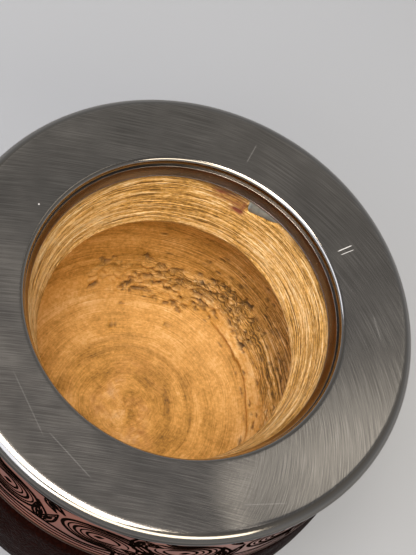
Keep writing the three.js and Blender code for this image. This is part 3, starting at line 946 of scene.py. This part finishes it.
# Gives the eye flat black lines that stay black in any light.
black_lacquer, tree, shader = material("black stoving lacquer, rubbed back")
place = add(tree, "TexCoord").outputs["Object"]
worn = add(tree, "TexNoise", {"Vector": place, "Scale": 900.0, "Detail": 3.0})
shade = add(
    tree, "ValToRGB", {"Fac": worn.outputs["Fac"]}, stops=[(0.35, colour("060403")), (0.75, colour("150d0a"))]
)
tree.links.new(shade.outputs["Color"], shader.inputs["Base Color"])
shader.inputs["Roughness"].default_value = 0.5
shader.inputs["Specular IOR Level"].default_value = 0.0
inlay_piece = piece("band_engraving", inlay_points, inlay_faces, black_lacquer, None)
inlay_piece.data.polygons.foreach_set("use_smooth", [False] * len(inlay_piece.data.polygons))

# --- Band edge wire -----------------------------------------------------------------------
# Round bronze wire bent to a hoop and soldered along the band's lower edge. It covers the raw
# edge of the sheet, and handling has darkened it.

# Gives the eye a dull brown line that closes the band off from the leather.
dark_bronze, tree, shader = material("bronze wire, darkened by handling")
shader.inputs["Base Color"].default_value = colour("4a342a")
shader.inputs["Metallic"].default_value = 1.0
shader.inputs["Roughness"].default_value = 0.4

wire_low, wire_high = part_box("band_edge_wire")
wire_radius = (wire_high.z - wire_low.z) / 2 / MM * 1.05
wire_middle = (wire_high.x / MM - wire_radius, (wire_high.z + wire_low.z) / 2 / MM)
hoop("edge_wire", arc(wire_middle, wire_radius, 0, 340, 17), dark_bronze, "band_edge_wire")

# --- Leather body -------------------------------------------------------------------------
# Two pieces of oxblood cowhide, soaked, stretched over the gourd and tucked up under the band.
# They meet edge to edge at the sides. Dyed oxblood and waxed, they keep a fine pebble grain. Their colour is
# painted darker, near black, as painted shade.

hide_columns = 240
tuck_radius = 40.4
hide_thickness = 1.95
hide_top = height - 14.0
tuck_start_depth = 22.6
hide_share = (1 - np.cos(np.linspace(0.045, 1, 150) * math.pi / 2)) ** 1.15
hide_z = body_bottom + (height - tuck_start_depth - body_bottom) * hide_share
hide_outer = np.column_stack([body_radius(hide_z), hide_z])
hide_outer[0, 0] = 3.0
tuck = [hide_outer[-1], (41.75, height - 21.5), (40.85, height - 20.6), (tuck_radius, height - 19.9)]
tuck = smooth_curve(tuck, 8)
hide_outer = np.vstack([hide_outer, tuck[1:], [(tuck_radius, height - 17)], [(tuck_radius, hide_top)]])
hide_outer = spaced(hide_outer, 0.5)
hide_normal = outward(hide_outer)
hide_along = np.r_[0, np.cumsum(np.hypot(*np.diff(hide_outer, axis=0).T))][:, None]

# Gives the eye a near-black red, painted darker than the hide's own oxblood as shade, with a faint sheen that
# picks out the pebbles.
hide, tree, shader = material("waxed oxblood cowhide, pebble grain")
place = add(tree, "TexCoord").outputs["Object"]
wander = add(tree, "TexNoise", {"Vector": place, "Scale": 350.0, "Detail": 2.0})
shifted = {"Fac": 0.0012, "Color1": place, "Color2": wander.outputs["Color"]}
bent = add(tree, "MixRGB", shifted, blend_type="ADD")
cells = add(tree, "TexVoronoi", {"Vector": bent.outputs[0], "Scale": 900.0}, feature="DISTANCE_TO_EDGE")
furrow = add(tree, "MapRange", {"Value": cells.outputs["Distance"], 1: 0.0, 2: 0.22, 3: 0.0, 4: 1.0})
creases = add(tree, "TexNoise", {"Vector": place, "Scale": 180.0, "Detail": 6.0, "Roughness": 0.65})
wear = add(tree, "TexNoise", {"Vector": place, "Scale": 38.0, "Detail": 4.0})
# Painted shade: these near-black reds are darker than the hide's own oxblood.
shade = add(
    tree,
    "ValToRGB",
    {"Fac": wear.outputs["Fac"]},
    stops=[(0.3, colour("120402")), (0.6, colour("1a0603")), (0.85, colour("290c06"))],
)
dark_furrow = add(tree, "MixRGB", {"Fac": 1.0, "Color1": shade.outputs["Color"]}, blend_type="MULTIPLY")
furrow_shade = add(tree, "MapRange", {"Value": furrow.outputs[0], 3: 0.55, 4: 1.0})
tree.links.new(furrow_shade.outputs[0], dark_furrow.inputs["Color2"])
tree.links.new(dark_furrow.outputs[0], shader.inputs["Base Color"])
rough = add(tree, "MapRange", {"Value": creases.outputs["Fac"], 1: 0.3, 2: 0.7, 3: 0.45, 4: 0.62})
tree.links.new(rough.outputs[0], shader.inputs["Roughness"])
swollen = {0: creases.outputs["Fac"], 1: 0.8, 2: furrow.outputs[0]}
pebbles = add(tree, "Math", swollen, operation="MULTIPLY_ADD")
relief = add(tree, "Bump", {"Strength": 0.55, "Distance": 0.00025, "Height": pebbles.outputs[0]})
tree.links.new(relief.outputs["Normal"], shader.inputs["Normal"])
shader.inputs["Specular IOR Level"].default_value = 0.012

stitch_pitch = 2.4
seam_gap = 0.16
for name, node, first in (("hide_front", "leather_panel_front", 180), ("hide_back", "leather_panel_back", 0)):
    gap_angle = np.degrees(seam_gap / np.maximum(hide_outer[:, :1], 3))
    share = np.linspace(0, 1, hide_columns)[None, :]
    share = 0.5 - 0.5 * np.cos(math.pi * share) * (0.35 + 0.65 * np.abs(np.cos(math.pi * share)) ** 0.5)
    degrees = first + gap_angle + (180 - 2 * gap_angle) * share
    angle = np.radians(degrees)
    from_seam = np.abs(np.sin(angle)) * hide_outer[:, :1]
    way = degrees / 360
    swell = 0.16 * drift(hide_along / 9, way, 12, 31) + 0.07 * drift(hide_along / 3.5, way, 34, 32)
    swell = swell - 0.55 * np.clip(1 - from_seam / 0.9, 0, 1) ** 2 + 0.28 * bump(from_seam, 1.6, 1.3)
    pucker = 0.5 + 0.5 * np.cos(2 * math.pi * hide_along / stitch_pitch)
    swell = swell - 0.3 * pucker * bump(from_seam, 1.9, 0.8) - 0.22
    covered = rise(hide_outer[:, 1:], height - 21.2, height - 19.8)
    swell = swell * (1 - covered)
    outer_r = hide_outer[:, :1] + swell * hide_normal[:, :1]
    outer_z = hide_outer[:, 1:] + swell * hide_normal[:, 1:]
    inner_edge = np.maximum(hide_outer[:, :1] - hide_thickness * hide_normal[:, :1], 1.2)
    inner_r = np.repeat(inner_edge, hide_columns, 1)
    inner_z = np.repeat(hide_outer[:, 1:] - hide_thickness * hide_normal[:, 1:], hide_columns, 1)
    shells = []
    for r, z in ((outer_r, outer_z), (inner_r, inner_z)):
        shells.append(np.stack([r * np.cos(angle), r * np.sin(angle), z], axis=-1).reshape(-1, 3))
    rows, size = len(hide_outer), len(hide_outer) * hide_columns
    faces = []
    for i in range(rows - 1):
        for j in range(hide_columns - 1):
            a, b = i * hide_columns + j, (i + 1) * hide_columns + j
            faces.append((a, a + 1, b + 1, b))
            faces.append((size + b, size + b + 1, size + a + 1, size + a))
        for j, turned_over in ((0, True), (hide_columns - 1, False)):
            a, b = i * hide_columns + j, (i + 1) * hide_columns + j
            quad = (a, b, size + b, size + a)
            faces.append(quad if turned_over else quad[::-1])
    for j in range(hide_columns - 1):
        top = (rows - 1) * hide_columns + j
        faces.append((top, top + 1, size + top + 1, size + top))
        faces.append((j + 1, j, size + j, size + j + 1))
    piece(name, np.vstack(shells), faces, hide, node)

# --- Side lacing --------------------------------------------------------------------------
# Two-ply waxed linen thread that whips the hides together down each side. Each stitch leaves
# one hole, crosses the seam on a slant and goes down into the next.


def strand(path, radius, sides, pitch, points, faces):
    """A two-ply thread along a path in millimetres, added to a list of points and faces."""
    path = np.asarray(path, float)
    along = np.gradient(path, axis=0)
    along /= np.linalg.norm(along, axis=1)[:, None]
    run = np.r_[0, np.cumsum(np.linalg.norm(np.diff(path, axis=0), axis=1))]
    hint = np.array([0.0, 0.0, 1.0]) if abs(along[0, 2]) < 0.9 else np.array([1.0, 0.0, 0.0])
    start = len(points)
    for p, t, s in zip(path, along, run):
        across = np.cross(t, hint)
        across /= np.linalg.norm(across)
        over = np.cross(across, t)
        hint = over
        for k in range(sides):
            a = 2 * math.pi * k / sides
            r = radius * (0.8 + 0.2 * abs(math.cos(a - 2 * math.pi * s / pitch)))
            points.append(p + r * (math.cos(a) * across + math.sin(a) * over))
    for i in range(len(path) - 1):
        for k in range(sides):
            n = (k + 1) % sides
            low, high = start + i * sides, start + (i + 1) * sides
            faces.append((low + k, low + n, high + n, high + k))
    faces.append(tuple(start + k for k in reversed(range(sides))))
    faces.append(tuple(start + (len(path) - 1) * sides + k for k in range(sides)))


# Gives the eye a fibrous mid-brown, lighter than the hide it crosses.
thread, tree, shader = material("waxed brown linen thread")
place = add(tree, "TexCoord").outputs["Object"]
lint = add(tree, "TexNoise", {"Vector": place, "Scale": 2500.0, "Detail": 3.0})
shade = add(
    tree, "ValToRGB", {"Fac": lint.outputs["Fac"]}, stops=[(0.3, colour("3a1d10")), (0.7, colour("6b3c22"))]
)
tree.links.new(shade.outputs["Color"], shader.inputs["Base Color"])
shader.inputs["Roughness"].default_value = 0.6
shader.inputs["Sheen Weight"].default_value = 0.15
relief = add(tree, "Bump", {"Strength": 0.5, "Distance": 0.0001, "Height": lint.outputs["Fac"]})
tree.links.new(relief.outputs["Normal"], shader.inputs["Normal"])

hole_from_seam = 1.7
lace_radius, ply_pitch, thread_sides = 0.42, 1.6, 10
for name, node, side in (("lacing_left", "seam_thread_left", -1), ("lacing_right", "seam_thread_right", 1)):
    thread_low, thread_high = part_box(node)
    lace_points, lace_faces = [], []
    levels = np.arange(thread_high.z / MM - 1.4, thread_low.z / MM + 1.0, -stitch_pitch)
    for level in levels:
        t = np.linspace(-1, 1, 13)
        z = level - 0.55 * stitch_pitch * t
        reach_out = body_radius(z) - 0.15 + 0.55 * np.clip(1 - t**4, 0, 1) - 0.9 * (np.abs(t) > 0.95)
        y = hole_from_seam * t
        path = np.column_stack([side * np.sqrt(reach_out**2 - y**2), y, z])
        strand(path, lace_radius, thread_sides, ply_pitch, lace_points, lace_faces)
    piece(name, lace_points, lace_faces, thread, node)

# --- Foot ---------------------------------------------------------------------------------
# A strip of thick vegetable-tanned leather bent to a hoop, its face burnished and its edges
# dyed darker. The body sits in it.

ring_low, ring_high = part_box("foot_ring")
foot_radius = ring_high.x / MM
foot_bottom = ring_low.z / MM
foot_bore = 16.0
bulge = 3.6
foot_outline = spaced(
    np.vstack(
        [
            [(foot_bore, foot_bottom)],
            arc((foot_radius - bulge, foot_bottom + bulge), bulge, -80, 50, 20),
        ]
    ),
    0.35,
)
seat_radii = np.linspace(foot_radius - 2.2, foot_bore, 24)
body_z = np.linspace(body_bottom, body_bottom + 16, 400)
seat_z = np.interp(seat_radii, body_radius(body_z), body_z) - 0.32
foot_outline = np.vstack([foot_outline, np.column_stack([seat_radii, seat_z])])
foot_normal = outward(foot_outline, closed=True)
foot_columns = 300
foot_turn = (np.arange(foot_columns) / foot_columns)[None, :]
foot_run = np.r_[0, np.cumsum(np.hypot(*np.diff(foot_outline, axis=0).T))][:, None]
foot_dent = -0.12 + 0.1 * drift(foot_run / 3, foot_turn, 40, 41)
foot_points = turned(
    foot_outline[:, :1] + foot_dent * foot_normal[:, :1],
    foot_outline[:, 1:] + np.abs(foot_dent) * foot_normal[:, 1:] * -0.5,
    foot_columns,
)

# Gives the eye a patchy chestnut with a low polish.
sole_leather, tree, shader = material("burnished vegetable-tanned leather")
place = add(tree, "TexCoord").outputs["Object"]
fibre = add(tree, "TexNoise", {"Vector": place, "Scale": 420.0, "Detail": 5.0, "Roughness": 0.6})
patch = add(tree, "TexNoise", {"Vector": place, "Scale": 60.0, "Detail": 3.0})
shade = add(
    tree,
    "ValToRGB",
    {"Fac": patch.outputs["Fac"]},
    stops=[(0.3, colour("351509")), (0.7, colour("54260f"))],
)
tree.links.new(shade.outputs["Color"], shader.inputs["Base Color"])
rough = add(tree, "MapRange", {"Value": fibre.outputs["Fac"], 1: 0.3, 2: 0.7, 3: 0.38, 4: 0.6})
tree.links.new(rough.outputs[0], shader.inputs["Roughness"])
relief = add(tree, "Bump", {"Strength": 0.4, "Distance": 0.0002, "Height": fibre.outputs["Fac"]})
tree.links.new(relief.outputs["Normal"], shader.inputs["Normal"])

piece(
    "foot_hoop",
    foot_points,
    ring_faces(len(foot_outline), foot_columns, closed_outline=True),
    sole_leather,
    "foot_ring",
)

# --- Cork pad -----------------------------------------------------------------------------
# A round of pressed cork granules, glued inside the hoop under the gourd. It is hidden once the
# sole is on.

# Gives the eye pale crumbs with darker joints between them.
cork, tree, shader = material("pressed cork granules")
place = add(tree, "TexCoord").outputs["Object"]
granules = add(tree, "TexVoronoi", {"Vector": place, "Scale": 700.0})
shade = add(
    tree,
    "ValToRGB",
    {"Fac": granules.outputs["Distance"]},
    stops=[(0.1, colour("c29a68")), (0.8, colour("7d5530"))],
)
tree.links.new(shade.outputs["Color"], shader.inputs["Base Color"])
shader.inputs["Roughness"].default_value = 0.85
cork_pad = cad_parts["foot_pad"]
cork_pad.data.materials.clear()
cork_pad.data.materials.append(cork)

# --- Sole ---------------------------------------------------------------------------------
# A round of the same leather as the hoop, its cut edge rounded over and burnished. It is
# stitched to the hoop through punched holes.

sole_low, sole_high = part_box("base_disc")
sole_radius, sole_top = sole_high.x / MM, sole_high.z / MM
sole_edge, sole_flat, sole_hole = 0.9, 12, 0.3
sole_outline = np.vstack(
    [
        [(sole_hole, 0), (sole_flat, 0)],
        arc((sole_radius - sole_edge, sole_edge), sole_edge, -90, 0, 8),
        arc((sole_radius - sole_edge, sole_top - sole_edge), sole_edge, 0, 90, 8),
        [(sole_flat, sole_top), (sole_hole, sole_top)],
    ]
)
hoop("sole_disc", sole_outline, sole_leather, "base_disc", 240)

# --- Foot stitching -----------------------------------------------------------------------
# The same two-ply thread, whipped round the hoop's lower edge, over and under through punched
# holes. It holds the sole to the hoop.

whip_low, whip_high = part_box("foot_thread")
whip_middle = (whip_low.z + whip_high.z) / 2 / MM
whip_rise = (whip_high.z - whip_low.z) / 2 / MM - 0.45
whip_radius = whip_high.x / MM - 0.5
whip_points, whip_faces = [], []
stitches = 44
whip_thread = 0.4
for n in range(stitches):
    t = np.linspace(-1, 1, 13)
    a = 2 * math.pi * (n + 0.5 + 0.36 * t) / stitches
    r = whip_radius - 0.75 * t**6
    path = np.column_stack([r * np.cos(a), r * np.sin(a), whip_middle + whip_rise * t])
    strand(path, whip_thread, thread_sides, ply_pitch, whip_points, whip_faces)
piece("foot_stitching", whip_points, whip_faces, thread, "foot_thread")
